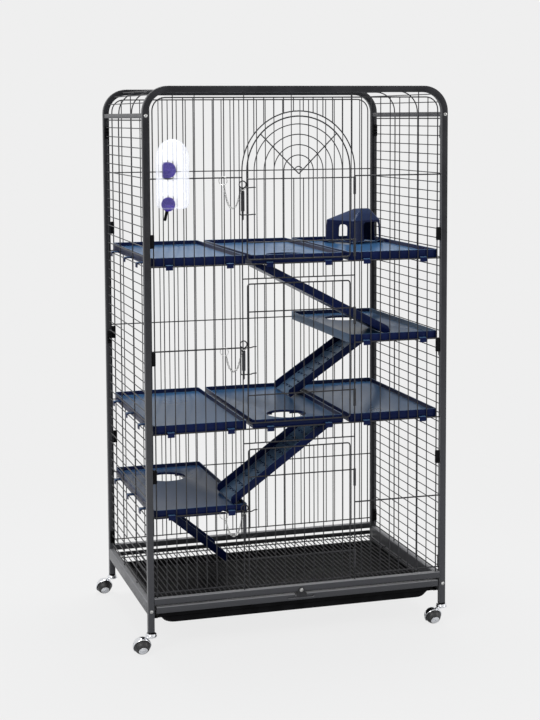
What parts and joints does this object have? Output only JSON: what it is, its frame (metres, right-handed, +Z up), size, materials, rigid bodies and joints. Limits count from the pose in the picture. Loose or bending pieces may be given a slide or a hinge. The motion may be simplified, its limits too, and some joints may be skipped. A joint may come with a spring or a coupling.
{
  "type": "multi-level ferret cage",
  "caption": "Tall wire ferret cage on ball casters, with hinged front doors, hanging platforms joined by ramps, a hideaway, a water bottle and a pull-out tray.",
  "frame": {"origin": "on the floor, under the middle of the cage's four posts", "axes": "+X to the right seen from the front, +Y to the back, +Z up; the doors are on the -Y side"},
  "size_m": [0.831, 0.579, 1.3885],
  "materials": {
    "frame_paint": "charcoal hammertone powder coat",
    "wire_coat": "satin black powder coat",
    "black_plastic": "fine-grained black moulding",
    "zinc": "bright zinc plate",
    "navy_plastic": "glossy navy moulding",
    "clear_plastic": "clear blown plastic",
    "purple_plastic": "glossy purple moulding",
    "chrome": "polished chrome plate",
    "ball_tread": "hard black tread with a chromed hub face"
  },
  "bodies": {
    "root": {"front_arch": "frame_paint", "back_arch": "frame_paint", "left_top_rail": "frame_paint", "right_top_rail": "frame_paint", "left_bottom_rail": "frame_paint", "right_bottom_rail": "frame_paint", "front_cross_bar": "frame_paint", "back_cross_bar": "frame_paint", "latch_sleeves": "frame_paint", "front_panel": "wire_coat", "back_panel": "wire_coat", "left_panel": "wire_coat", "right_panel": "wire_coat", "top_panel": "wire_coat", "hinge_wire": "wire_coat", "panel_clips": "black_plastic", "caster_sockets": "black_plastic", "frame_screws": "zinc", "turn_latch_screw": "zinc", "upper_chain": "zinc", "middle_chain": "zinc", "lower_chain": "zinc", "platform_a_left": "navy_plastic", "platform_a_middle": "navy_plastic", "platform_a_right": "navy_plastic", "platform_b_right": "navy_plastic", "platform_c_left": "navy_plastic", "platform_c_middle": "navy_plastic", "platform_c_right": "navy_plastic", "platform_d_left": "navy_plastic", "bottle_clip": "purple_plastic"},
    "upper_door_leaf": {"upper_door": "wire_coat", "upper_door_eyes": "wire_coat"},
    "middle_door_leaf": {"middle_door": "wire_coat", "middle_door_eyes": "wire_coat"},
    "lower_door_leaf": {"lower_door": "wire_coat", "lower_door_eyes": "wire_coat"},
    "upper_latch_pin": {"upper_pin": "wire_coat"},
    "middle_latch_pin": {"middle_pin": "wire_coat"},
    "lower_latch_pin": {"lower_pin": "wire_coat"},
    "drawer": {"tray_pan": "black_plastic", "tray_front": "frame_paint", "floor_grille": "wire_coat"},
    "turn_button": {"turn_latch": "wire_coat"},
    "ramp_a_body": {"ramp_a": "navy_plastic"},
    "ramp_b_body": {"ramp_b": "navy_plastic"},
    "ramp_c_body": {"ramp_c": "navy_plastic"},
    "ramp_d_body": {"ramp_d": "navy_plastic"},
    "hut": {"hideaway": "navy_plastic"},
    "bottle": {"bottle_body": "clear_plastic", "bottle_cap": "purple_plastic", "bottle_spout": "black_plastic"},
    "swivel_front_left": {"hood_front_left": "chrome"},
    "wheel_front_left": {"ball_front_left": "ball_tread"},
    "swivel_front_right": {"hood_front_right": "chrome"},
    "wheel_front_right": {"ball_front_right": "ball_tread"},
    "swivel_back_left": {"hood_back_left": "chrome"},
    "wheel_back_left": {"ball_back_left": "ball_tread"},
    "swivel_back_right": {"hood_back_right": "chrome"},
    "wheel_back_right": {"ball_back_right": "ball_tread"}
  },
  "joints": [
    {"name": "upper_door_swing", "type": "hinge", "parent": "root", "child": "upper_door_leaf", "pos_m": [0.146, -0.25, 1.1085], "axis": [0, 0, 1], "range_deg": [0, 160]},
    {"name": "middle_door_swing", "type": "hinge", "parent": "root", "child": "middle_door_leaf", "pos_m": [0.146, -0.25, 0.7155], "axis": [0, 0, 1], "range_deg": [0, 160]},
    {"name": "lower_door_swing", "type": "hinge", "parent": "root", "child": "lower_door_leaf", "pos_m": [0.146, -0.25, 0.3055], "axis": [0, 0, 1], "range_deg": [0, 160]},
    {"name": "upper_pin_lift", "type": "slide", "parent": "root", "child": "upper_latch_pin", "axis": [0, 0, 1], "range_m": [0, 0.085]},
    {"name": "middle_pin_lift", "type": "slide", "parent": "root", "child": "middle_latch_pin", "axis": [0, 0, 1], "range_m": [0, 0.085]},
    {"name": "lower_pin_lift", "type": "slide", "parent": "root", "child": "lower_latch_pin", "axis": [0, 0, 1], "range_m": [0, 0.085]},
    {"name": "drawer_pull", "type": "slide", "parent": "root", "child": "drawer", "axis": [0, -1, 0], "range_m": [0, 0.46]},
    {"name": "turn_latch_turn", "type": "hinge", "parent": "root", "child": "turn_button", "pos_m": [0, -0.259, 0.126], "axis": [0, 1, 0], "range_deg": [-90, 90]},
    {"name": "ramp_a_lift", "type": "hinge", "parent": "root", "child": "ramp_a_body", "pos_m": [-0.095, -0.138, 0.946], "axis": [0, -1, 0], "range_deg": [0, 18]},
    {"name": "ramp_b_lift", "type": "hinge", "parent": "root", "child": "ramp_b_body", "pos_m": [0.34, 0.138, 0.737], "axis": [0, 1, 0], "range_deg": [0, 20]},
    {"name": "ramp_c_lift", "type": "hinge", "parent": "root", "child": "ramp_c_body", "pos_m": [0.095, -0.138, 0.535], "axis": [0, 1, 0], "range_deg": [0, 20]},
    {"name": "ramp_d_lift", "type": "hinge", "parent": "root", "child": "ramp_d_body", "pos_m": [-0.349, 0.138, 0.325], "axis": [0, -1, 0], "range_deg": [0, 20]},
    {"name": "hideaway_lift", "type": "slide", "parent": "root", "child": "hut", "axis": [0, 0, 1], "range_m": [0, 0.08]},
    {"name": "bottle_pull", "type": "slide", "parent": "root", "child": "bottle", "axis": [0, -1, 0], "range_m": [0, 0.06]},
    {"name": "swivel_front_left_turn", "type": "hinge", "parent": "root", "child": "swivel_front_left", "pos_m": [-0.3855, -0.25, 0.051], "axis": [0, 0, 1], "continuous": true},
    {"name": "wheel_front_left_spin", "type": "hinge", "parent": "swivel_front_left", "child": "wheel_front_left", "pos_m": [-0.4085, -0.25, 0.02], "axis": [0, -0.866, -0.5], "continuous": true},
    {"name": "swivel_front_right_turn", "type": "hinge", "parent": "root", "child": "swivel_front_right", "pos_m": [0.3855, -0.25, 0.051], "axis": [0, 0, 1], "continuous": true},
    {"name": "wheel_front_right_spin", "type": "hinge", "parent": "swivel_front_right", "child": "wheel_front_right", "pos_m": [0.3625, -0.25, 0.02], "axis": [0, -0.866, -0.5], "continuous": true},
    {"name": "swivel_back_left_turn", "type": "hinge", "parent": "root", "child": "swivel_back_left", "pos_m": [-0.3855, 0.25, 0.051], "axis": [0, 0, 1], "continuous": true},
    {"name": "wheel_back_left_spin", "type": "hinge", "parent": "swivel_back_left", "child": "wheel_back_left", "pos_m": [-0.4085, 0.25, 0.02], "axis": [0, -0.866, -0.5], "continuous": true},
    {"name": "swivel_back_right_turn", "type": "hinge", "parent": "root", "child": "swivel_back_right", "pos_m": [0.3855, 0.25, 0.051], "axis": [0, 0, 1], "continuous": true},
    {"name": "wheel_back_right_spin", "type": "hinge", "parent": "swivel_back_right", "child": "wheel_back_right", "pos_m": [0.3625, 0.25, 0.02], "axis": [0, -0.866, -0.5], "continuous": true}
  ]
}
